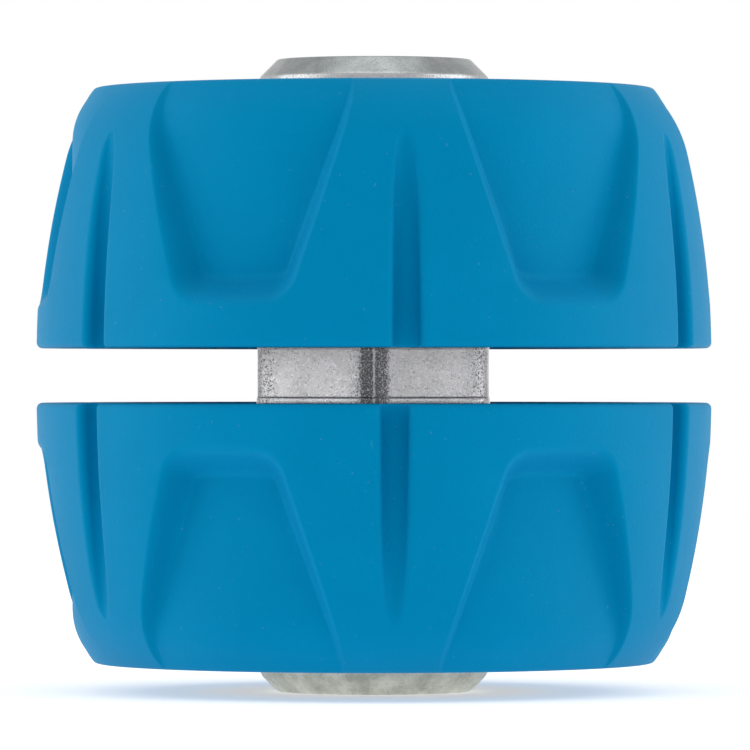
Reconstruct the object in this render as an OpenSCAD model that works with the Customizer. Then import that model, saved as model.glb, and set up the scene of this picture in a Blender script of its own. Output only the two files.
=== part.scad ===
// Hose mender for a garden hose: a cast core with a hose tail at each end, and at each end a nut
// that screws onto the core and closes a ring of grip fingers on the hose.
// The tails point along Z. The origin is the middle of the core, and -Y is the front.

/* [Hose tails] */
// Diameter of the barbs, which is the bore of the hose
tail_d = 16; // [15:0.5:17]
// Height of a barb above the tail between the barbs
barb_height = 0.9; // [0.6:0.1:1.2]
// Wall of the tail between the barbs
tail_wall = 1.1; // [0.9:0.1:1.6]
// Length of tail that stands out of the nut
tail_proud = 2; // [1.6:0.1:4]
// Bevel at the tip of the tail
tip_bevel = 1.25; // [0.6:0.05:1.6]
// Straight land of the first barb
tip_land = 1.9; // [1:0.1:3]
// Number of barbs on each tail
barb_count = 4; // [2:1:4]
// Distance from one barb to the next
barb_pitch = 3.4; // [3.2:0.1:4]
// Extra distance from the first barb to the second
barb_set_back = 0.5; // [0.2:0.1:0.8]
// Length of the slope on the inner barbs
barb_slope = 1.3; // [1:0.1:1.6]
// Straight land of the inner barbs
barb_land = 0.6; // [0.4:0.1:0.8]

/* [Core] */
// Width across the flats of the hexagon between the nuts
hex_width = 16; // [15:0.5:20]
// Turn of the hexagon from one corner facing the front
hex_turn = -1.5; // [-30:0.5:30]
// Thickness of the two flanges
flange_thickness = 2; // [1.6:0.1:3]
// Wall of the threaded rim on each flange
rim_wall = 2.4; // [2:0.1:3]
// Bevel at the open end of the threaded rim
rim_bevel = 0.6; // [0.3:0.1:1]

/* [Grip rings] */
// Space round the tail for the wall of the hose
hose_space = 4; // [3.6:0.1:4.8]
// Wall of the closed part of the ring
ring_wall = 3.6; // [3.2:0.1:4.4]
// Height of the closed part of the ring
ring_height = 3; // [2.4:0.1:3.6]
// Thickness of the fingers
finger_thickness = 1.8; // [1.4:0.1:2.2]
// Number of fingers
finger_count = 10; // [8:1:12]
// Width of the slots between the fingers
slot_width = 1.6; // [1.2:0.1:2]
// Height of the teeth inside the finger tips
tooth_height = 0.4; // [0.2:0.1:0.6]
// Distance from one tooth to the next
tooth_pitch = 1.5; // [1.2:0.1:1.8]
// Number of teeth on each finger
tooth_count = 3; // [2:1:4]

/* [Nuts] */
// Gap between the rims of the two nuts
nut_gap = 3.8; // [3:0.1:5]
// Height of a nut
nut_height = 18.2; // [17:0.1:20]
// Wall of a nut at its rim, outside the thread
nut_wall = 5.05; // [4.4:0.05:6]
// Height of the cone that closes the fingers
cone_height = 7.6; // [6.6:0.1:8.4]
// Straight land of the mouth that the hose goes through
mouth_land = 0.95; // [0.8:0.05:1.4]
// Bevel at the mouth
mouth_bevel = 0.4; // [0.2:0.1:0.6]
// Bevel where the thread starts
lead_bevel = 0.6; // [0.3:0.1:1]
// Slope of the barrel against the axis at the rim
rim_draft = 0.8; // [0:0.1:3]
// Radius of the barrel's long curve
barrel_radius = 84; // [60:1:120]
// Radius of the shoulder's curve
shoulder_radius = 8; // [6:0.1:10]
// Height of the shoulder's curve
shoulder_height = 4.8; // [4:0.1:6]
// Rounding where the shoulder meets the end face
face_rounding = 0.9; // [0.5:0.1:1.2]
// Rounding at the rim
rim_rounding = 0.4; // [0.2:0.1:0.8]
// Turn of the upper nut from one flute facing the front
upper_turn = 5.5; // [-30:0.1:30]
// Turn of the lower nut from one flute facing the front
lower_turn = 3.5; // [-30:0.1:30]

/* [Flutes and pockets of the nuts] */
// Number of flutes, with a pocket between each two
flute_count = 6; // [5:1:6]
// Radius of a flute's round floor at the rim
flute_rim_radius = 1.46; // [1.2:0.02:1.8]
// Radius of a flute's round floor at the height of the end face
flute_end_radius = 0.72; // [0.5:0.02:1]
// Depth of a flute under the rim's radius
flute_depth = 1.65; // [1.2:0.05:2]
// Depth of a pocket under the rim's radius
pocket_depth = 2.5; // [1.8:0.1:3]
// Height of a pocket's lower edge above the rim, at its floor
pocket_start = 4.7; // [4:0.1:6]
// Width of a pocket's floor at its lower edge
pocket_width = 6.3; // [5:0.1:7]
// Angle between a pocket's side and the axis
pocket_flare = 23; // [16:1:24]
// Sideways growth of a pocket for each millimetre outwards
pocket_draft = 0.65; // [0.5:0.05:0.8]
// Corner radius of a pocket at its floor
pocket_corner = 0.9; // [0.7:0.1:1.1]
// Radius of the curve on which a pocket's floor runs out towards the end face
runout_radius = 5.5; // [4:0.1:7]
// Height of that curve's start under the end face
runout_height = 3.9; // [3:0.1:5]

/* [Clearances] */
// Gap between the grip ring and the threaded rim round it
ring_gap = 0.3; // [0.2:0.05:0.4]
// Gap under the grip ring
seat_gap = 0.3; // [0.2:0.05:0.5]
// Gap between the fingers and the nut's cone
cone_gap = 0.25; // [0.2:0.05:0.4]
// Gap between the finger tips and the mouth's land
tip_gap = 0.35; // [0.2:0.05:0.6]
// Gap between the thread of the core and that of a nut
thread_gap = 0.25; // [0.2:0.05:0.3]
// Gap between the end of the threaded rim and the step inside the nut
step_gap = 1.2; // [0.6:0.1:2]
// How far the rims of the nuts reach past the flanges
flange_cover = 0.3; // [0.2:0.05:0.6]

/* [Hidden] */
$fn = 96;
pocket_fn = 32;
overlap = 0.5;
cutter_tip = 0.05;
cutter_reach = 2;
curve_steps = 8;
rounding_steps = 5;

// Radii, from the waterway outwards
tail_r = tail_d / 2;
root_r = tail_r - barb_height;
bore_r = root_r - tail_wall;
mouth_r = tail_r + hose_space;
ring_r = mouth_r + ring_wall;
cup_r = ring_r + ring_gap;
thread_r = cup_r + rim_wall;
nut_bore_r = thread_r + thread_gap;
rim_r = nut_bore_r + nut_wall;

// Heights above the middle of the core
flange_start = nut_gap / 2 + flange_cover;
cup_floor = flange_start + flange_thickness;
nut_start = nut_gap / 2;
nut_end = nut_start + nut_height;
tip_z = nut_end + tail_proud;
cone_end = nut_end - mouth_land;
cone_start = cone_end - cone_height;
rim_end = cone_start - step_gap;
ring_start = cup_floor + seat_gap;
ring_top = ring_start + ring_height;
finger_end = cone_end - tip_gap;

// The cone inside the nut, and the fingers under it
cone_slope = (cup_r - mouth_r) / cone_height;
finger_gap = cone_gap * sqrt(1 + pow(cone_slope, 2));
finger_step = finger_thickness * sqrt(1 + pow(cone_slope, 2));
bend_z = cone_start + (cup_r - finger_gap - ring_r) / cone_slope;
inner_bend_z = bend_z + (finger_thickness - finger_step) / cone_slope;

// Curves of the nut's outside, in a frame that starts at its rim
barrel_x = rim_r - barrel_radius * cos(rim_draft);
barrel_z = -barrel_radius * sin(rim_draft);
shoulder_angle = asin((nut_height - shoulder_height - barrel_z) / barrel_radius);
shoulder_x = barrel_x + (barrel_radius - shoulder_radius) * cos(shoulder_angle);
shoulder_z = barrel_z + (barrel_radius - shoulder_radius) * sin(shoulder_angle);
face_z = nut_height - face_rounding;
face_angle = asin((face_z - shoulder_z) / (shoulder_radius - face_rounding));
face_x = shoulder_x + (shoulder_radius - face_rounding) * cos(face_angle);
rim_angle = asin((rim_rounding - barrel_z) / (barrel_radius - rim_rounding));
rim_x = barrel_x + (barrel_radius - rim_rounding) * cos(rim_angle);

// Floors of the flutes and pockets, and the depth range of the pocket's cutter
flute_floor_r = rim_r - flute_depth;
pocket_floor_r = rim_r - pocket_depth;
flute_lean = atan((flute_rim_radius - flute_end_radius) / nut_height);
runout_z = nut_height - runout_height;
runout_end = asin((runout_height + overlap) / runout_radius);
cutter_in = pocket_floor_r - (pocket_corner - cutter_tip) / pocket_draft;
cutter_out = rim_r + overlap;
cutter_low_z = pocket_start + pocket_corner;
cutter_high_z = nut_height + pocket_corner;
cutter_low_x = cutter_x(cutter_low_z, pocket_corner);
cutter_high_x = cutter_x(cutter_high_z, pocket_corner + cutter_reach * pocket_draft);

// Points of an arc from one angle to another, about a centre
function arc(x, z, radius, from, to, steps) =
    [for (i = [0:steps]) let (a = from + (to - from) * i / steps)
        [x + radius * cos(a), z + radius * sin(a)]];

// Sideways place of a corner of the pocket's cutter, from its height and its radius at the floor
function cutter_x(z, radius) =
    pocket_width / 2 + (z - pocket_start) * tan(pocket_flare) - radius / cos(pocket_flare);

// Radius of the nut's cone at a height
function cone_at(z) = cup_r - (z - cone_start) * cone_slope;

// Radius of the inner side of a finger at a height
function finger_inner(z) = cone_at(z) - finger_gap - finger_step;

// One barb: a slope at its outer end, then a straight land
module barb(top, nose_r, slope, land) {
    rotate_extrude()
        polygon([
            [0, top],
            [nose_r, top],
            [tail_r, top - slope],
            [tail_r, top - slope - land],
            [0, top - slope - land]
        ]);
}

// A hose tail: a plain tube outside, with a bevelled barb at the tip and more behind it
module tail() {
    cylinder(h = tip_z - tip_bevel, r = root_r);
    barb(tip_z, tail_r - tip_bevel, tip_bevel, tip_land);
    for (i = [1:barb_count - 1])
        barb(tip_z - i * barb_pitch - barb_set_back, root_r, barb_slope, barb_land);
}

// A flange with the threaded rim on it, open towards the end of the tail
module cup() {
    difference() {
        rotate_extrude()
            polygon([
                [0, flange_start],
                [thread_r - rim_bevel, flange_start],
                [thread_r, flange_start + rim_bevel],
                [thread_r, rim_end - rim_bevel],
                [thread_r - rim_bevel, rim_end],
                [0, rim_end]
            ]);
        translate([0, 0, cup_floor])
            cylinder(h = rim_end, r = cup_r);
    }
}

module core() {
    color("silver")
        difference() {
            union() {
                for (side = [0, 1])
                    mirror([0, 0, side]) {
                        tail();
                        cup();
                    }
                rotate([0, 0, hex_turn - 90])
                    cylinder(h = 2 * cup_floor - overlap, d = hex_width / cos(30), center = true, $fn = 6);
            }
            cylinder(h = 2 * tip_z + overlap, r = bore_r, center = true);
        }
}

// A closed ring with fingers that lean inwards along the nut's cone
module grip_ring() {
    teeth = [for (i = [0:tooth_count - 1]) let (z = finger_end - i * tooth_pitch)
        each [[finger_inner(z) - tooth_height, z], [finger_inner(z - tooth_pitch), z - tooth_pitch]]];
    difference() {
        rotate_extrude()
            polygon(concat(
                [
                    [mouth_r, ring_start],
                    [ring_r, ring_start],
                    [ring_r, bend_z],
                    [cone_at(finger_end) - finger_gap, finger_end]
                ],
                teeth,
                [
                    [ring_r - finger_thickness, inner_bend_z],
                    [ring_r - finger_thickness, ring_top],
                    [mouth_r, ring_top]
                ]
            ));
        for (i = [0:finger_count - 1])
            rotate([0, 0, i * 360 / finger_count])
                translate([0, -slot_width / 2, ring_top])
                    cube([ring_r + overlap, slot_width, finger_end]);
    }
}

module upper_grip_ring() {
    color("gainsboro")
        grip_ring();
}

module lower_grip_ring() {
    color("gainsboro")
        rotate([180, 0, 0])
            grip_ring();
}

// The nut without its flutes and pockets, standing on its rim
module nut_blank() {
    rotate_extrude()
        polygon(concat(
            [
                [nut_bore_r, cone_start - nut_start],
                [nut_bore_r, lead_bevel],
                [nut_bore_r + lead_bevel, 0]
            ],
            arc(rim_x, rim_rounding, rim_rounding, -90, rim_angle, rounding_steps),
            arc(barrel_x, barrel_z, barrel_radius, rim_angle, shoulder_angle, curve_steps),
            arc(shoulder_x, shoulder_z, shoulder_radius, shoulder_angle, face_angle, curve_steps),
            arc(face_x, face_z, face_rounding, face_angle, 90, rounding_steps),
            [
                [mouth_r + mouth_bevel, nut_height],
                [mouth_r, nut_height - mouth_bevel],
                [mouth_r, cone_end - nut_start],
                [cup_r, cone_start - nut_start]
            ]
        ));
}

// Cutter of one flute, at the front: a cone that narrows towards the end face, with its floor upright
module flute_cutter() {
    growth = (flute_rim_radius - flute_end_radius) / nut_height * overlap;
    translate([0, -flute_floor_r - flute_rim_radius, 0])
        rotate([-flute_lean, 0, 0])
            translate([0, 0, -overlap])
                cylinder(
                    h = nut_height + 2 * overlap,
                    r1 = flute_rim_radius + growth,
                    r2 = flute_end_radius - growth
                );
}

// Cutter of one pocket, at the front: it widens outwards, and towards the end face.
// Its high corners start deeper, because the wide end of the floor curves away at its sides.
module pocket_cutter() {
    high_in = cutter_in - cutter_reach;
    corners = [
        [-cutter_low_x, cutter_low_z, cutter_in],
        [cutter_low_x, cutter_low_z, cutter_in],
        [-cutter_high_x, cutter_high_z, high_in],
        [cutter_high_x, cutter_high_z, high_in]
    ];
    hull()
        for (p = corners)
            translate([p[0], -p[2], p[1]])
                rotate([90, 0, 0])
                    cylinder(
                        h = cutter_out - p[2],
                        r1 = cutter_tip,
                        r2 = cutter_tip + pocket_draft * (cutter_out - p[2]),
                        $fn = pocket_fn
                    );
}

// What the pockets leave standing: their floors, upright and then running out towards the end face
module pocket_floors() {
    rotate_extrude()
        polygon(concat(
            [[0, -overlap], [pocket_floor_r, -overlap]],
            arc(pocket_floor_r - runout_radius, runout_z, runout_radius, 0, runout_end, curve_steps),
            [[0, nut_height + overlap]]
        ));
}

// A nut standing on its rim, with one flute at the front
module nut() {
    pitch_angle = 360 / flute_count;
    difference() {
        nut_blank();
        for (i = [0:flute_count - 1])
            rotate([0, 0, i * pitch_angle])
                flute_cutter();
        difference() {
            for (i = [0:flute_count - 1])
                rotate([0, 0, (i + 0.5) * pitch_angle])
                    pocket_cutter();
            pocket_floors();
        }
    }
}

module upper_nut() {
    color("steelblue")
        rotate([0, 0, upper_turn])
            translate([0, 0, nut_start])
                nut();
}

module lower_nut() {
    color("steelblue")
        rotate([0, 0, lower_turn])
            rotate([180, 0, 180])
                translate([0, 0, nut_start])
                    nut();
}

core();
upper_grip_ring();
lower_grip_ring();
upper_nut();
lower_nut();
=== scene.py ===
"""Looks of the hose mender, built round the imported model. Lengths below are in millimetres."""

import math

import bpy
import numpy as np
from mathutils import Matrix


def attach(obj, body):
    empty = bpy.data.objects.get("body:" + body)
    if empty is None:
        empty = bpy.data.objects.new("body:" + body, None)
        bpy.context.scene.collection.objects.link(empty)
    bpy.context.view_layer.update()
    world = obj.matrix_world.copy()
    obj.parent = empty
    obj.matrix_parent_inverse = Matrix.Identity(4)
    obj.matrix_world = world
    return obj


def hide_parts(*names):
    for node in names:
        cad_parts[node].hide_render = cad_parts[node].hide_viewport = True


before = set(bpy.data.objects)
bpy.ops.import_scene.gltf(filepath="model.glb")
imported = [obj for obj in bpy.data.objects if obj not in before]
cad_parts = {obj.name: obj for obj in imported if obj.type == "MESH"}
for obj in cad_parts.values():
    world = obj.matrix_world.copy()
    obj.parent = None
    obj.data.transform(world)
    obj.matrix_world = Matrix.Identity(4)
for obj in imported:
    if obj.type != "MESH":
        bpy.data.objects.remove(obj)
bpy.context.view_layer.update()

MM = 0.001

# Light: strength of the white surroundings, then name, place and size in metres, and watts
AMBIENT = 0.54
SOFTBOXES = (
    ("left_softbox", (-0.6, -0.05, 0.06), (0.6, 0.8), 2.35),
    ("right_softbox", (0.6, -0.05, 0.06), (0.6, 0.8), 2.4),
    ("top_softbox", (0.0, -0.1, 0.6), (0.5, 0.5), 0.9),
)

# Camera: level with the middle of the core, far in front of it
IMAGE_WIDTH_PX = 750
MM_PER_PX = 0.07
CAMERA_DISTANCE = 539.0
CAMERA_SHIFT_PX = (1.0, 0.5)
SENSOR_WIDTH = 36.0

# Hose tails and core
TAIL_R = 8.0
BARB_HEIGHT = 0.9
TAIL_WALL = 1.1
TIP_BEVEL = 1.25
TIP_LAND = 1.9
LOWER_TIP_RADII = [1.0, 0.5, 0.25]
BARB_COUNT = 4
BARB_PITCH = 3.4
BARB_SLOPE = 1.3
BARB_LAND = 0.6
BARB_OFFSET = 0.5
HEX_WIDTH = 16.0
HEX_TURN = -1.5
HEX_CORNER_R = 1.6
BEAD_HEIGHT = 0.08
BEAD_HALF_WIDTH = 0.13
LEDGE_TOP = -1.5
LEDGE_STEP = 0.06
FLANGE_THICKNESS = 2.0
RIM_WALL = 2.4
RIM_BEVEL = 0.6

# Grids: heights of rows, degrees of close columns beside a corner, and number of columns beyond
THREAD_ROW = 0.16
BORE_ROW = 0.19
HEX_ROW = 0.06
PLAIN_CORNER = 5.2
BEADED_CORNER = 4.5
FLAT_COLUMNS = 8

# Grip rings
HOSE_SPACE = 4.0
RING_WALL = 3.6
RING_HEIGHT = 3.0
FINGER_THICKNESS = 1.8
FINGER_COUNT = 10
SLOT_WIDTH = 1.6
TOOTH_HEIGHT = 0.4
TOOTH_PITCH = 1.5
TOOTH_COUNT = 3
FINGER_COLUMNS = 10
FINGER_EDGE = 0.12

# Nuts
NUT_GAP = 3.8
NUT_HEIGHT = 18.2
NUT_WALL = 5.05
TAIL_PROUD = 2.0
CONE_HEIGHT = 7.6
MOUTH_LAND = 0.95
MOUTH_BEVEL = 0.4
LEAD_BEVEL = 0.6
RIM_DRAFT = 0.8
BARREL_R = 84.0
SHOULDER_R = 8.0
SHOULDER_HEIGHT = 4.8
FACE_ROUNDING = 0.9
RIM_ROUNDING = 0.4
UPPER_TURN = 5.5
LOWER_TURN = 3.5

# Flutes and pockets
FLUTE_COUNT = 6
FLUTE_RIM_R = 0.95
FLUTE_END_R = 0.72
FLUTE_DEPTH = 1.65
POCKET_DEPTH = 2.5
POCKET_START = 4.7
POCKET_WIDTH = 6.3
POCKET_FLARE = math.radians(23)
POCKET_DRAFT = 0.65
POCKET_CORNER = 0.9
RUNOUT_R = 5.5
RUNOUT_HEIGHT = 3.9
FLUTE_LIP_R = 0.65
POCKET_LIP = 0.75
BOTTOM_FILLET = 0.5
SIDE_FILLET = 0.8
SIDE_FILLET_RISE = 3.0

# Clearances
RING_GAP = 0.3
SEAT_GAP = 0.3
CONE_GAP = 0.25
TIP_GAP = 0.35
THREAD_GAP = 0.25
STEP_GAP = 1.2
FLANGE_COVER = 0.3

# Thread, one start, right-hand
THREAD_PITCH = 3.0
THREAD_DEPTH = 1.0
THREAD_FADE = 0.9
THREAD_LEAD_IN = 0.4
THREAD_OVERRUN = 0.3
ROOT_SHARE = 0.3
FLANK_SHARE = 0.5

# Radii and heights that follow from the values above
ROOT_R = TAIL_R - BARB_HEIGHT
BORE_R = ROOT_R - TAIL_WALL
MOUTH_R = TAIL_R + HOSE_SPACE
RING_R = MOUTH_R + RING_WALL
CUP_R = RING_R + RING_GAP
THREAD_R = CUP_R + RIM_WALL
NUT_BORE_R = THREAD_R + THREAD_GAP
RIM_R = NUT_BORE_R + NUT_WALL
NUT_START = NUT_GAP / 2
NUT_END = NUT_START + NUT_HEIGHT
TIP_Z = NUT_END + TAIL_PROUD
FLANGE_START = NUT_START + FLANGE_COVER
CUP_FLOOR = FLANGE_START + FLANGE_THICKNESS
CONE_END = NUT_END - MOUTH_LAND
CONE_START = CONE_END - CONE_HEIGHT
RIM_END = CONE_START - STEP_GAP
RING_START = CUP_FLOOR + SEAT_GAP
RING_TOP = RING_START + RING_HEIGHT
FINGER_END = CONE_END - TIP_GAP
CONE_SLOPE = (CUP_R - MOUTH_R) / CONE_HEIGHT


def add_camera():
    data = bpy.data.cameras.new("camera")
    data.sensor_width = SENSOR_WIDTH
    data.lens = SENSOR_WIDTH * CAMERA_DISTANCE / (IMAGE_WIDTH_PX * MM_PER_PX)
    data.shift_x = CAMERA_SHIFT_PX[0] / IMAGE_WIDTH_PX
    data.shift_y = CAMERA_SHIFT_PX[1] / IMAGE_WIDTH_PX
    data.clip_start = 0.01
    camera = bpy.data.objects.new("camera", data)
    camera.location = (0, -CAMERA_DISTANCE * MM, 0)
    camera.rotation_euler = (math.pi / 2, 0, 0)
    bpy.context.collection.objects.link(camera)
    bpy.context.scene.camera = camera


# Mesh helpers


def rounded(points, radii, steps=5, guard=0.1):
    """A closed outline with rounded corners, and a point close to each end of each straight."""
    points = [np.array(p, float) for p in points]
    count = len(points)
    out = []
    for i, corner in enumerate(points):
        if radii[i] == 0:
            out.append(corner)
            continue
        before = points[i - 1] - corner
        after = points[(i + 1) % count] - corner
        len_before = np.linalg.norm(before)
        len_after = np.linalg.norm(after)
        before /= len_before
        after /= len_after
        half = math.acos(np.clip(before @ after, -1, 1)) / 2
        reach = min(radii[i] / math.tan(half), 0.45 * len_before, 0.45 * len_after)
        radius = reach * math.tan(half)
        start = corner + before * reach
        end = corner + after * reach
        if reach + guard < 0.5 * len_before:
            out.append(start + before * guard)
        centre = corner + (before + after) / np.linalg.norm(before + after) * radius / math.sin(half)
        first = start - centre
        last = end - centre
        sweep = math.acos(np.clip(first @ last / radius**2, -1, 1))
        for k in range(steps + 1):
            t = k / steps
            between = math.sin((1 - t) * sweep) * first + math.sin(t * sweep) * last
            out.append(centre + between / math.sin(sweep))
        if reach + guard < 0.5 * len_after:
            out.append(end + after * guard)
    return np.array(out)


def split_long(outline, step, reach, least_radius):
    """The closed outline with its straights cut short where they lie within the reach and far out."""
    out = []
    count = len(outline)
    for i in range(count):
        a = outline[i]
        b = outline[(i + 1) % count]
        out.append(a)
        inside = max(abs(a[1]), abs(b[1])) <= reach and min(a[0], b[0]) >= least_radius
        pieces = int(np.linalg.norm(b - a) / step) + 1 if inside else 1
        out += [a + (b - a) * k / pieces for k in range(1, pieces)]
    return np.array(out)


def ring_points(radius, height, angle):
    """Points of rows by columns, from radius, height and angle from the front, towards the right."""
    return np.stack([radius * np.sin(angle), -radius * np.cos(angle), height], axis=-1)


def closed_grid(name, points):
    """A closed mesh from a grid of points whose rows and columns both run round."""
    rows, cols = points.shape[:2]
    index = np.arange(rows * cols).reshape(rows, cols)
    right = np.roll(index, -1, axis=1)
    up = np.roll(index, -1, axis=0)
    across = np.roll(right, -1, axis=0)
    faces = np.stack([index, right, across, up], axis=-1).reshape(-1, 4)
    return solid(name, points.reshape(-1, 3), faces.tolist())


def solid(name, vertices, faces):
    """A smooth-shaded object from points in millimetres, with its faces outwards."""
    mesh = bpy.data.meshes.new(name)
    mesh.from_pydata((np.asarray(vertices) * MM).tolist(), [], faces)
    mesh.validate()
    mesh.polygons.foreach_set("use_smooth", [True] * len(mesh.polygons))
    mesh.update()
    thing = bpy.data.objects.new(name, mesh)
    bpy.context.collection.objects.link(thing)
    return thing


def soft_min(a, b, width):
    """The lower of two heights, blended where they differ by less than the width."""
    h = np.clip(1 - np.abs(a - b) / width, 0, 1)
    return np.minimum(a, b) - h * h * width / 4


def soft_max(a, b, width):
    return -soft_min(-a, -b, width)


def smooth_step(x):
    x = np.clip(x, 0, 1)
    return x * x * (3 - 2 * x)


def turned(points, degrees):
    """The points turned about Z."""
    a = math.radians(degrees)
    turn = np.array([[math.cos(a), math.sin(a), 0], [-math.sin(a), math.cos(a), 0], [0, 0, 1]])
    return points @ turn


def flipped(points):
    """The points turned end for end about X."""
    return points * np.array([1, -1, -1])


# Thread


def thread_ridge(angle, height, shift):
    """Height of the ridge, 0 to 1, of a right-hand thread whose root is at the front at the shift."""
    turns = (height - shift) / THREAD_PITCH - angle / (2 * math.pi)
    near = 1 - np.abs(2 * np.mod(turns, 1) - 1)
    return smooth_step((near - ROOT_SHARE) / FLANK_SHARE)


def thread_fade(height, low, high):
    return smooth_step((height - low) / THREAD_FADE) * smooth_step((high - height) / THREAD_FADE)


# Core


def tail_outline():
    """The core's outline from the middle of the bore over the tip to the hexagon, and its radii."""
    tip = [(BORE_R, 0), (BORE_R, TIP_Z), (TAIL_R - TIP_BEVEL, TIP_Z), (TAIL_R, TIP_Z - TIP_BEVEL)]
    radii = [0, 0.25, 0.2, 0.3]
    level = TIP_Z - TIP_BEVEL - TIP_LAND
    barbs = [(TAIL_R, level), (ROOT_R, level)]
    radii += [0.12, 0.2]
    for i in range(1, BARB_COUNT):
        top = TIP_Z - i * BARB_PITCH - BARB_OFFSET
        low = top - BARB_SLOPE - BARB_LAND
        barbs += [(ROOT_R, top), (TAIL_R, top - BARB_SLOPE), (TAIL_R, low), (ROOT_R, low)]
        radii += [0.3, 0.2, 0.12, 0.2]
    cup = [
        (ROOT_R, CUP_FLOOR),
        (CUP_R, CUP_FLOOR),
        (CUP_R, RIM_END),
        (THREAD_R - RIM_BEVEL, RIM_END),
        (THREAD_R, RIM_END - RIM_BEVEL),
        (THREAD_R, FLANGE_START + RIM_BEVEL),
        (THREAD_R - RIM_BEVEL, FLANGE_START),
        (HEX_WIDTH / 2, FLANGE_START),
    ]
    radii += [0.4, 0.4, 0.15, 0.15, 0.2, 0.2, 0.15, 0.45]
    return tip + barbs + cup, radii


def hex_radius(angle):
    """Radius of the hexagon with rounded corners, one of which is at angle 0."""
    off = np.abs(np.mod(angle + math.pi / 6, math.pi / 3) - math.pi / 6)
    flat = HEX_WIDTH / 2
    centre = (flat - HEX_CORNER_R) / math.cos(math.pi / 6)
    edge = math.atan(HEX_CORNER_R * 0.5 / (centre + HEX_CORNER_R * math.cos(math.pi / 6)))
    beyond = np.maximum(HEX_CORNER_R**2 - (centre * np.sin(off)) ** 2, 0)
    corner = centre * np.cos(off) + np.sqrt(beyond)
    rounded_hex = np.where(off < edge, corner, flat / np.cos(math.pi / 6 - off))
    # The casting's parting line runs up two opposite corners as a low bead
    from_bead = np.abs(np.mod(angle + math.pi / 2, math.pi) - math.pi / 2) * rounded_hex
    return rounded_hex + BEAD_HEIGHT * np.exp(-((from_bead / BEAD_HALF_WIDTH) ** 2))


def corner_columns(near, steps):
    """Column angles from a corner to the next flat's middle, closer together near the corner."""
    far = np.linspace(near, 30, FLAT_COLUMNS + 1)[:-1]
    return np.radians(np.concatenate([np.linspace(0, near, steps + 1)[:-1], far]))


def build_core():
    """The casting, from a grid of its rounded outline by the columns round it."""
    upper, radii = tail_outline()
    lower = [(r, -z) for r, z in reversed(upper[1:])]
    lower_radii = radii[:3:-1] + LOWER_TIP_RADII
    outline = rounded(upper + lower, radii + lower_radii, steps=4)
    outline = split_long(outline, THREAD_ROW, RIM_END, THREAD_R - 0.01)
    outline = split_long(outline, HEX_ROW, FLANGE_START - 0.1, HEX_WIDTH / 2 - 0.01)
    plain = corner_columns(PLAIN_CORNER, 4)
    beaded = corner_columns(BEADED_CORNER, 8)
    columns = []
    for corner in range(6):
        half = beaded if corner % 3 == 0 else plain
        columns.append(np.concatenate([-half[:0:-1], half, [math.pi / 6]]) + corner * math.pi / 3)
    angle = np.concatenate(columns)[None, :] + math.radians(HEX_TURN)
    radius = np.repeat(outline[:, :1], angle.shape[1], axis=1)
    height = np.repeat(outline[:, 1:], angle.shape[1], axis=1)
    # The threads of the two rims
    for sign in (1, -1):
        along = sign * height
        on_thread = (radius > THREAD_R - 0.7 * RIM_BEVEL) & (along > 0)
        ridge = thread_ridge(sign * angle, along, THREAD_PITCH / 2)
        cut = THREAD_DEPTH * (1 - ridge) * thread_fade(along, FLANGE_START, RIM_END + THREAD_OVERRUN)
        radius = np.where(on_thread, radius - cut, radius)
    # The hexagon takes over from the round neck near the middle
    outer = (radius < THREAD_R) & (np.abs(height) < FLANGE_START + 0.01) & (radius > BORE_R + 0.5)
    share = np.clip((THREAD_R - RIM_BEVEL - radius) / (THREAD_R - RIM_BEVEL - HEX_WIDTH / 2), 0, 1)
    grown = radius + share * (hex_radius(angle - math.radians(HEX_TURN)) - HEX_WIDTH / 2)
    ledge = LEDGE_STEP * smooth_step((LEDGE_TOP - height) / LEDGE_STEP)
    radius = np.where(outer, grown + ledge, radius)
    return closed_grid("core_casting", ring_points(radius, height, angle)[::-1])


# Grip rings


def cone_at(z):
    return CUP_R - (z - CONE_START) * CONE_SLOPE


def finger_outline():
    """Outline of a finger with the ring under it, from the ring's inner foot, round its outside."""
    lean = math.sqrt(1 + CONE_SLOPE**2)
    gap = CONE_GAP * lean
    step = FINGER_THICKNESS * lean
    bend = CONE_START + (CUP_R - gap - RING_R) / CONE_SLOPE
    inner_bend = bend + (FINGER_THICKNESS - step) / CONE_SLOPE
    outline = [(MOUTH_R, RING_START), (RING_R, RING_START), (RING_R, RING_TOP), (RING_R, bend)]
    outline.append((cone_at(FINGER_END) - gap, FINGER_END))
    for i in range(TOOTH_COUNT):
        z = FINGER_END - i * TOOTH_PITCH
        outline.append((cone_at(z) - gap - step - TOOTH_HEIGHT, z))
        outline.append((cone_at(z - TOOTH_PITCH) - gap - step, z - TOOTH_PITCH))
    outline += [
        (RING_R - FINGER_THICKNESS, inner_bend),
        (RING_R - FINGER_THICKNESS, RING_TOP),
        (MOUTH_R, RING_TOP),
    ]
    return outline


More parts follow.
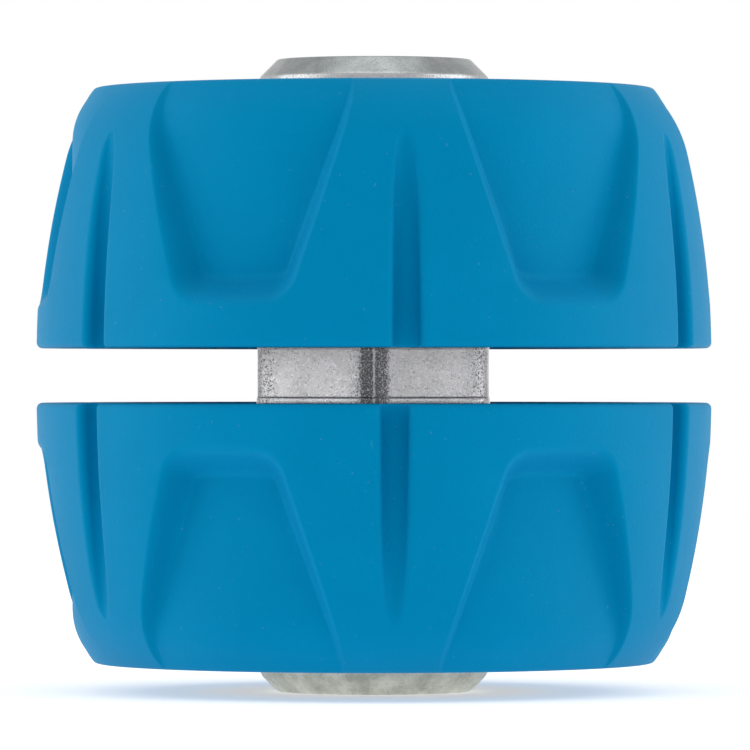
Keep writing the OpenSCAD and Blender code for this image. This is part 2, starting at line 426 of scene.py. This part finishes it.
def grip_ring_mesh():
    """Points and faces of a ring: its foot runs right round, and each finger is capped on its sides."""
    outline = finger_outline()
    count = len(outline)
    foot = [0, 1, 2, count - 2, count - 1]
    above_foot = range(2, count - 1)
    sector = 2 * math.pi / FINGER_COUNT
    last = FINGER_COLUMNS
    vertices = []
    faces = []

    def at(finger, column, n):
        return (finger * (FINGER_COLUMNS + 1) + column) * count + n % count

    for i in range(FINGER_COUNT):
        for k in range(FINGER_COLUMNS + 1):
            for r, z in outline:
                # The sides of a slot are parallel, so a finger ends at half the slot's width
                reach = sector / 2 - math.asin(SLOT_WIDTH / 2 / r)
                a = (i + 0.5) * sector - reach + 2 * reach * k / FINGER_COLUMNS
                vertices.append((r * math.sin(a), -r * math.cos(a), z))
    for i in range(FINGER_COUNT):
        after = (i + 1) % FINGER_COUNT
        for k in range(FINGER_COLUMNS):
            for n in range(count):
                faces.append([at(i, k, n), at(i, k + 1, n), at(i, k + 1, n + 1), at(i, k, n + 1)])
        for n, m in zip(foot, foot[1:] + foot[:1]):
            faces.append([at(i, last, n), at(after, 0, n), at(after, 0, m), at(i, last, m)])
        faces.append([at(i, last, n) for n in above_foot])
        faces.append([at(i, 0, n) for n in reversed(above_foot)])
    return np.array(vertices), faces


def build_grip_ring(name, lower):
    """The ring with its sharp edges slightly broken."""
    points, faces = grip_ring_mesh()
    ring = solid(name, flipped(points) if lower else points, faces)
    bevel = ring.modifiers.new("edges", "BEVEL")
    bevel.width = FINGER_EDGE * MM
    bevel.segments = 2
    bevel.limit_method = "ANGLE"
    bevel.angle_limit = math.radians(25)
    bevel.use_clamp_overlap = True
    for polygon in ring.data.polygons:
        polygon.use_smooth = False
    return ring


# Nuts


def arc(x, z, radius, start, end, count):
    a = np.linspace(start, end, count)
    return np.stack([x + radius * np.cos(a), z + radius * np.sin(a)], axis=-1)


def nut_curves():
    """The nut's outside above its rim, as radius and height: rounding, barrel, shoulder, rounding."""
    draft = math.radians(RIM_DRAFT)
    barrel_x = RIM_R - BARREL_R * math.cos(draft)
    barrel_z = -BARREL_R * math.sin(draft)
    shoulder_angle = math.asin((NUT_HEIGHT - SHOULDER_HEIGHT - barrel_z) / BARREL_R)
    shoulder_x = barrel_x + (BARREL_R - SHOULDER_R) * math.cos(shoulder_angle)
    shoulder_z = barrel_z + (BARREL_R - SHOULDER_R) * math.sin(shoulder_angle)
    face_z = NUT_HEIGHT - FACE_ROUNDING
    face_angle = math.asin((face_z - shoulder_z) / (SHOULDER_R - FACE_ROUNDING))
    face_x = shoulder_x + (SHOULDER_R - FACE_ROUNDING) * math.cos(face_angle)
    rim_angle = math.asin((RIM_ROUNDING - barrel_z) / (BARREL_R - RIM_ROUNDING))
    rim_x = barrel_x + (BARREL_R - RIM_ROUNDING) * math.cos(rim_angle)
    barrel_low = barrel_z + BARREL_R * math.sin(rim_angle)
    barrel_high = barrel_z + BARREL_R * math.sin(shoulder_angle)
    # Rows lie closer together where the pockets start
    dense_low = POCKET_START - 2.6
    dense_high = POCKET_START + 1.2
    levels = np.concatenate([
        np.linspace(barrel_low, dense_low, 9)[1:],
        np.linspace(dense_low, dense_high, 28)[1:],
        np.linspace(dense_high, barrel_high, 24)[1:-1],
    ])
    barrel = np.stack([barrel_x + np.sqrt(BARREL_R**2 - (levels - barrel_z) ** 2), levels], axis=-1)
    return np.concatenate([
        arc(rim_x, RIM_ROUNDING, RIM_ROUNDING, -math.pi / 2, rim_angle, 6),
        barrel,
        arc(shoulder_x, shoulder_z, SHOULDER_R, shoulder_angle, face_angle, 26),
        arc(face_x, face_z, FACE_ROUNDING, face_angle, math.pi / 2, 8)[1:],
    ])


def pocket_distance(x, z):
    """Distance in the front plane past lines one corner radius inside the pocket's outline."""
    sine = math.sin(POCKET_FLARE)
    cosine = math.cos(POCKET_FLARE)
    low_x = POCKET_WIDTH / 2 - POCKET_CORNER / cosine + POCKET_CORNER * sine / cosine
    out = np.abs(x) - low_x
    up = z - POCKET_START - POCKET_CORNER
    past_side = out * cosine - up * sine
    along_side = out * sine + up * cosine
    distance = np.maximum(past_side, -up)
    at_corner = (out > 0) & (along_side < 0)
    return np.where(at_corner, np.hypot(out, up), distance)


def pocket_floor(z):
    """Radius of the pocket's floor: upright, then running out towards the end face."""
    rise = np.clip(z - NUT_HEIGHT + RUNOUT_HEIGHT, 0, RUNOUT_HEIGHT)
    return RIM_R - POCKET_DEPTH - RUNOUT_R + np.sqrt(RUNOUT_R**2 - rise**2)


def pocket_surface(angle, z, base):
    """Radius of the pocket's floor and walls along each ray, where the angle counts from its middle."""
    floor = RIM_R - POCKET_DEPTH
    radius = np.broadcast_to(base, np.broadcast(angle, z).shape).copy()
    for _ in range(24):
        wall = floor + (pocket_distance(radius * np.sin(angle), z) - POCKET_CORNER) / POCKET_DRAFT
        radius = 0.5 * radius + 0.5 * np.clip(wall / np.cos(angle), floor - 6, RIM_R + 6)
    above = smooth_step((z - POCKET_START - POCKET_CORNER) / SIDE_FILLET_RISE)
    fillet = BOTTOM_FILLET + (SIDE_FILLET - BOTTOM_FILLET) * above
    return soft_max(pocket_floor(z) + 0 * angle, radius, fillet)


def flute_radius(z):
    """Radius of the flute's round floor, which narrows towards the end face."""
    return FLUTE_RIM_R + (FLUTE_END_R - FLUTE_RIM_R) * z / NUT_HEIGHT


def flute_lip(z, base):
    """Half the width of the flute out to where its rounded lips meet the barrel."""
    drop = np.clip(FLUTE_LIP_R + flute_radius(z) - base + RIM_R - FLUTE_DEPTH, 0, None)
    return np.sqrt(np.clip((flute_radius(z) + FLUTE_LIP_R) ** 2 - drop**2, 0.01, None))


def flute_surface(angle, z, base):
    """Radius of the flute's floor and rounded lips, where the angle counts from its middle."""
    size = flute_radius(z)
    lip = flute_lip(z, base)
    floor = RIM_R - FLUTE_DEPTH
    across = np.abs(base * np.sin(angle))
    touch = lip * size / (size + FLUTE_LIP_R)
    groove = floor + size - np.sqrt(np.clip(size**2 - across**2, 0, None))
    shoulder = base - FLUTE_LIP_R + np.sqrt(np.clip(FLUTE_LIP_R**2 - (lip - across) ** 2, 0, None))
    height = np.where(across < touch, groove, shoulder)
    inside = (across < lip) & (base > floor)
    return np.where(inside, np.minimum(height / np.cos(angle), base), base)


def wall_angle(half_width, radius):
    """Angle from a pocket's middle at which its side meets a radius."""
    floor = RIM_R - POCKET_DEPTH
    angle = np.zeros_like(radius)
    for _ in range(8):
        reach = half_width + POCKET_DRAFT / math.cos(POCKET_FLARE) * (radius * np.cos(angle) - floor)
        angle = np.arcsin(np.clip(reach / radius, 0, 0.9))
    return angle


def half_sector(levels, base):
    """Column angles of each row from a flute's middle to a pocket's, drawn along the edges there."""
    sector = math.pi / FLUTE_COUNT
    half_width = POCKET_WIDTH / 2 + np.clip(levels - POCKET_START, 0, None) * math.tan(POCKET_FLARE)
    lip = wall_angle(half_width, base)
    foot = wall_angle(half_width, np.minimum(pocket_floor(levels), base))
    margin = math.radians(0.8)
    lip_half = flute_lip(levels, base)
    flute_in = np.arcsin(lip_half * flute_radius(levels) / (flute_radius(levels) + FLUTE_LIP_R) / base)
    flute_out = np.arcsin(lip_half / base)
    keys = [
        np.zeros_like(base),
        flute_in,
        flute_out,
        np.maximum(sector - lip - margin, flute_out + math.radians(0.3)),
        sector - foot + margin,
        np.full_like(base, sector),
    ]
    # The steps shrink towards the flute's wall, where the floor and the lip are steepest
    floor_steps = np.sin(np.linspace(0, math.pi / 2, 10))
    lip_steps = 1 - np.cos(np.linspace(0, math.pi / 2, 7))
    even = [np.linspace(0, 1, count + 1) for count in (3, 14, 8)]
    columns = []
    for low_key, high_key, steps in zip(keys, keys[1:], [floor_steps, lip_steps, *even]):
        columns += [low_key + (high_key - low_key) * share for share in steps[:-1]]
    columns.append(keys[-1])
    return np.stack(columns, axis=1)


def nut_outside():
    """Angles and points of the nut's outside, row by row from the rim to the end face."""
    curve = nut_curves()
    base = curve[:, :1]
    levels = curve[:, 1:]
    half = half_sector(levels[:, 0], base[:, 0])
    sector = 2 * math.pi / FLUTE_COUNT
    one = np.concatenate([half, sector - half[:, -2:0:-1]], axis=1)
    angle = np.concatenate([one + i * sector for i in range(FLUTE_COUNT)], axis=1)
    from_flute = np.mod(angle + sector / 2, sector) - sector / 2
    from_pocket = np.mod(angle, sector) - sector / 2
    radius = flute_surface(from_flute, levels, base)
    lip = POCKET_LIP * np.clip((NUT_HEIGHT - levels) / FACE_ROUNDING, 0.02, 1)
    radius = soft_min(radius, pocket_surface(from_pocket, levels, base), lip)
    return angle, radius, levels + 0 * angle


def nut_inside_outline():
    """The nut's end face, mouth, cone, step, threaded bore and rim, from outside to outside."""
    start = CONE_START - NUT_START
    outline = [
        (MOUTH_R + MOUTH_BEVEL, NUT_HEIGHT),
        (MOUTH_R, NUT_HEIGHT - MOUTH_BEVEL),
        (MOUTH_R, CONE_END - NUT_START),
        (CUP_R, start),
        (NUT_BORE_R, start),
        (NUT_BORE_R, LEAD_BEVEL),
        (NUT_BORE_R + LEAD_BEVEL, 0),
    ]
    # Two more corners close the outline for the rounding, and are dropped again after it
    outer = RIM_R - 2
    closing = [(outer, 0), (outer, NUT_HEIGHT)]
    radii = [0.2, 0.2, 0.3, 0.3, 0.3, 0.2, 0.2, 0.01, 0.01]
    path = rounded(outline + closing, radii, steps=3)
    path = path[path[:, 0] < outer - 0.2]
    inside = []
    for a, b in zip(path, path[1:]):
        inside.append(a)
        on_bore = abs(a[0] - NUT_BORE_R) < 0.01 and abs(b[0] - NUT_BORE_R) < 0.01
        pieces = int(np.linalg.norm(b - a) / BORE_ROW) + 1 if on_bore else 1
        inside += [a + (b - a) * k / pieces for k in range(1, pieces)]
    inside.append(path[-1])
    return np.array(inside)


def nut_points(turn, thread_start):
    """All points of one nut, standing on its rim, with its thread in step with the core's."""
    angle, radius, height = nut_outside()
    outside = ring_points(radius, height, angle)
    path = nut_inside_outline()
    blend = np.linspace(0, 1, len(path) + 2)[1:-1, None]
    inner_angle = angle[-1:] * (1 - blend) + angle[:1] * blend
    inner_radius = path[:, :1] + 0 * inner_angle
    inner_height = path[:, 1:] + 0 * inner_angle
    shift = thread_start - NUT_START + THREAD_PITCH * turn / 360
    ridge = thread_ridge(inner_angle, inner_height, shift)
    ridge = ridge * thread_fade(inner_height, THREAD_LEAD_IN, CONE_START - NUT_START)
    on_bore = np.abs(path[:, :1] - NUT_BORE_R) < 0.05
    inner_radius = np.where(on_bore, inner_radius - THREAD_DEPTH * ridge, inner_radius)
    return np.concatenate([outside, ring_points(inner_radius, inner_height, inner_angle)])


def build_nut(name, turn, lower):
    # Turned end for end, the front of the lower nut becomes its back, which is half a pitch further on
    points = nut_points(-turn, 1.5 * THREAD_PITCH) if lower else nut_points(turn, THREAD_PITCH)
    points[..., 2] += NUT_START
    if lower:
        points = flipped(points)
    return closed_grid(name, turned(points, turn))


# Materials. Distances that end in _EDGE are where one look gives way to another, in millimetres
NUT_BLUES = ((0.0, 0.208, 0.424), (0.0, 0.22, 0.445))
SPECK_BLUE = (0.03, 0.23, 0.46)
NUT_GLOSS_TINT = (0.0, 1.0, 0.8)
ZINC_GREYS = ((0.44, 0.432, 0.438), (0.55, 0.541, 0.547))
# Pit grey, also used for the painted dark reflection on the hexagon's corners
PIT_AND_REFLECTION_GREY = (0.13, 0.128, 0.13)
# The tips' greys are painted: darker on the upper tip as painted shade, brighter on the lower one as
# painted light
UPPER_TIP_SHADED_GREYS = ((0.205, 0.222, 0.222), (0.275, 0.295, 0.295))
LOWER_TIP_LIT_GREYS = ((0.48, 0.50, 0.42), (0.80, 0.82, 0.72))
GRIP_GREYS = ((0.60, 0.61, 0.60), (0.66, 0.67, 0.66))
# The next five place the painted dark reflection on the hexagon's corners and the painted highlight
# beside the bead
CORNER_EDGE = (8.45, 8.85)
PARTING_EDGE = (0.8, 1.2)
BEAD_HIGHLIGHT_EDGE = (0.05, 0.1)
HEX_INNER_EDGE = (7.4, 7.8)
HEX_END_EDGE = (2.1, 2.2)
UPPER_TIP_EDGE = (20.6, 21.0)
LOWER_TIP_EDGE = (-20.6, -20.4)


class Nodes:
    """Short ways to add nodes to the tree of a material or of the world."""

    def __init__(self, tree):
        self.new = tree.nodes.new
        self.link = tree.links.new
        self.coord = None

    def put(self, socket, value):
        """Link the socket to an output, or give it a number or a colour."""
        if isinstance(value, bpy.types.NodeSocket):
            self.link(value, socket)
        else:
            socket.default_value = (*value, 1) if isinstance(value, tuple) else value

    def noise(self, scale, detail, roughness=0.5):
        node = self.new("ShaderNodeTexNoise")
        node.inputs["Scale"].default_value = scale
        node.inputs["Detail"].default_value = detail
        node.inputs["Roughness"].default_value = roughness
        self.put(node.inputs["Vector"], self.coord)
        return node.outputs["Fac"]

    def ramp(self, value, low, high, from_value=0.0, to_value=1.0):
        node = self.new("ShaderNodeMapRange")
        node.inputs["From Min"].default_value = low
        node.inputs["From Max"].default_value = high
        node.inputs["To Min"].default_value = from_value
        node.inputs["To Max"].default_value = to_value
        self.put(node.inputs["Value"], value)
        return node.outputs["Result"]

    def across(self, distance, edge, from_value=0.0, to_value=1.0):
        """A ramp over an edge that is given in millimetres."""
        return self.ramp(distance, edge[0] * MM, edge[1] * MM, from_value, to_value)

    def mixed(self, factor, a, b):
        """A colour between two colours, each a tuple or a socket."""
        node = self.new("ShaderNodeMix")
        node.data_type = "RGBA"
        self.put(node.inputs["Factor"], factor)
        self.put(node.inputs["A"], a)
        self.put(node.inputs["B"], b)
        return node.outputs["Result"]

    def math(self, kind, a, b=0.0):
        node = self.new("ShaderNodeMath")
        node.operation = kind
        self.put(node.inputs[0], a)
        self.put(node.inputs[1], b)
        return node.outputs["Value"]

    def bump(self, height, strength, distance):
        node = self.new("ShaderNodeBump")
        node.inputs["Strength"].default_value = strength
        node.inputs["Distance"].default_value = distance * MM
        self.put(node.inputs["Height"], height)
        return node.outputs["Normal"]


def new_finish(name):
    """A material, the ways to add nodes to it, and the sockets of its shader."""
    material = bpy.data.materials.new(name)
    material.use_nodes = True
    add = Nodes(material.node_tree)
    add.coord = add.new("ShaderNodeTexCoord").outputs["Object"]
    return material, add, material.node_tree.nodes["Principled BSDF"].inputs


def nut_plastic():
    """Satin moulded plastic with a fine grain, faint clouding and a few tiny marks."""
    material, add, shader = new_finish("nut_plastic")
    clouds = add.ramp(add.noise(160, 3), 0.3, 0.7)
    specks = add.ramp(add.noise(3800, 1), 0.74, 0.8)
    add.put(shader["Base Color"], add.mixed(specks, add.mixed(clouds, *NUT_BLUES), SPECK_BLUE))
    grain = add.noise(5200, 3, 0.6)
    add.put(shader["Roughness"], add.ramp(grain, 0.2, 0.8, 0.5, 0.62))
    add.put(shader["Normal"], add.bump(grain, 0.6, 0.04))
    shader["Specular IOR Level"].default_value = 0.12
    shader["Specular Tint"].default_value = (*NUT_GLOSS_TINT, 1)
    return material


def zinc():
    """Bare die-cast zinc: a fine grain with tiny pitting, and more of it at the hexagon's corners as
    painted dark reflection.
    """
    material, add, shader = new_finish("zinc")
    split = add.new("ShaderNodeSeparateXYZ")
    add.put(split.inputs[0], add.coord)
    x, y, z = split.outputs
    sideways = add.math("ABSOLUTE", x)
    level = add.math("ABSOLUTE", z)
    squares = add.math("ADD", add.math("MULTIPLY", x, x), add.math("MULTIPLY", y, y))
    radius = add.math("SQRT", squares)
    # The hexagon's corners lie further from the axis than its flats, and extra dark pitting on them is
    # painted dark reflection.
    # The two corners on the parting line are darkest, apart from a thin painted highlight beside the
    # bead, where the zinc stays plain
    painted_reflection = add.across(radius, CORNER_EDGE, 0.0, 0.4)
    painted_reflection = add.math("MAXIMUM", painted_reflection, add.across(sideways, PARTING_EDGE, 1.0, 0.0))
    painted_reflection = add.math("MULTIPLY", painted_reflection, add.across(sideways, BEAD_HIGHLIGHT_EDGE))
    painted_reflection = add.math("MULTIPLY", painted_reflection, add.across(radius, HEX_INNER_EDGE))
    painted_reflection = add.math("MULTIPLY", painted_reflection, add.across(level, HEX_END_EDGE, 1.0, 0.0))
    threshold = add.math("SUBTRACT", 0.60, add.math("MULTIPLY", painted_reflection, 0.2))
    pits_and_dark_reflection = add.ramp(add.math("SUBTRACT", add.noise(8500, 3, 0.7), threshold), 0.0, 0.12)
    clouds = add.ramp(add.noise(420, 4, 0.6), 0.3, 0.7)
    colour = add.mixed(pits_and_dark_reflection, add.mixed(clouds, *ZINC_GREYS), PIT_AND_REFLECTION_GREY)
    # The upper tip is painted darker and slightly bluish, a painted shade that tones down its
    # reflection of the white surroundings, and the lower one brighter and warmer, painted light that
    # makes up for the shadowed floor it reflects
    streaks = add.ramp(add.noise(700, 4, 0.65), 0.35, 0.65)
    upper_tip_shade = add.across(z, UPPER_TIP_EDGE)
    colour = add.mixed(upper_tip_shade, colour, add.mixed(streaks, *UPPER_TIP_SHADED_GREYS))
    lower_tip_light = add.across(z, LOWER_TIP_EDGE, 0.75, 0.0)
    colour = add.mixed(lower_tip_light, colour, add.mixed(streaks, *LOWER_TIP_LIT_GREYS))
    add.put(shader["Base Color"], colour)
    grain = add.noise(5200, 4, 0.7)
    add.put(shader["Roughness"], add.ramp(grain, 0.2, 0.8, 0.22, 0.36))
    add.put(shader["Normal"], add.bump(add.math("SUBTRACT", grain, pits_and_dark_reflection), 0.4, 0.04))
    shader["Metallic"].default_value = 1.0
    return material


def grip_plastic():
    """Plain pale grey plastic with a faint grain."""
    material, add, shader = new_finish("grip_plastic")
    clouds = add.ramp(add.noise(300, 3), 0.3, 0.7)
    add.put(shader["Base Color"], add.mixed(clouds, *GRIP_GREYS))
    grain = add.noise(4000, 3, 0.6)
    add.put(shader["Roughness"], add.ramp(grain, 0.2, 0.8, 0.35, 0.48))
    add.put(shader["Normal"], add.bump(grain, 0.25, 0.03))
    return material


def floor_surface():
    """Pale floor with a faint glow of its own, so that it is white except in the object's shadow."""
    material, _, shader = new_finish("floor")
    shader["Base Color"].default_value = (0.84, 0.84, 0.84, 1)
    shader["Roughness"].default_value = 0.9
    shader["Emission Color"].default_value = (1, 1, 1, 1)
    shader["Emission Strength"].default_value = 0.45
    return material


# Studio


def add_world():
    """White where the camera or a reflection sees it, and dimmer as light on the object."""
    world = bpy.data.worlds.new("world")
    bpy.context.scene.world = world
    world.use_nodes = True
    add = Nodes(world.node_tree)
    background = world.node_tree.nodes["Background"].inputs
    path = add.new("ShaderNodeLightPath").outputs
    seen = add.math("MAXIMUM", path["Is Camera Ray"], path["Is Glossy Ray"])
    seen = add.math("MAXIMUM", seen, path["Is Transmission Ray"])
    background["Color"].default_value = (1, 1, 1, 1)
    add.put(background["Strength"], add.ramp(seen, 0, 1, AMBIENT, 1.0))


def add_softbox(name, location, size, power):
    data = bpy.data.lights.new(name, "AREA")
    data.shape = "RECTANGLE"
    data.size, data.size_y = size
    data.energy = power
    lamp = bpy.data.objects.new(name, data)
    lamp.location = location
    direction = -np.array(location)
    direction = direction / np.linalg.norm(direction)
    lamp.rotation_euler = (
        math.acos(-direction[2]),
        0,
        math.atan2(direction[0], -direction[1]) + math.pi,
    )
    bpy.context.collection.objects.link(lamp)


def add_studio(floor_material):
    mesh = bpy.data.meshes.new("floor")
    side = 0.6
    level = -TIP_Z * MM
    corners = [(-side, -side, level), (side, -side, level), (side, side, level), (-side, side, level)]
    mesh.from_pydata(corners, [], [(0, 1, 2, 3)])
    floor = bpy.data.objects.new("floor", mesh)
    floor.data.materials.append(floor_material)
    bpy.context.collection.objects.link(floor)
    add_world()
    for softbox in SOFTBOXES:
        add_softbox(*softbox)


add_camera()
bpy.context.scene.view_settings.view_transform = "Standard"
add_studio(floor_surface())

nut_finish = nut_plastic()
zinc_finish = zinc()
grip_finish = grip_plastic()

core = build_core()
core.data.materials.append(zinc_finish)
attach(core, "core")
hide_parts("core")

for side, turn in (("upper", UPPER_TURN), ("lower", LOWER_TURN)):
    nut = build_nut(f"{side}_fluted_nut", turn, side == "lower")
    nut.data.materials.append(nut_finish)
    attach(nut, f"{side}_nut")
    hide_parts(f"{side}_nut")
    ring = build_grip_ring(f"{side}_fingers", side == "lower")
    ring.data.materials.append(grip_finish)
    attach(ring, f"{side}_grip_ring")
    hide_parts(f"{side}_grip_ring")
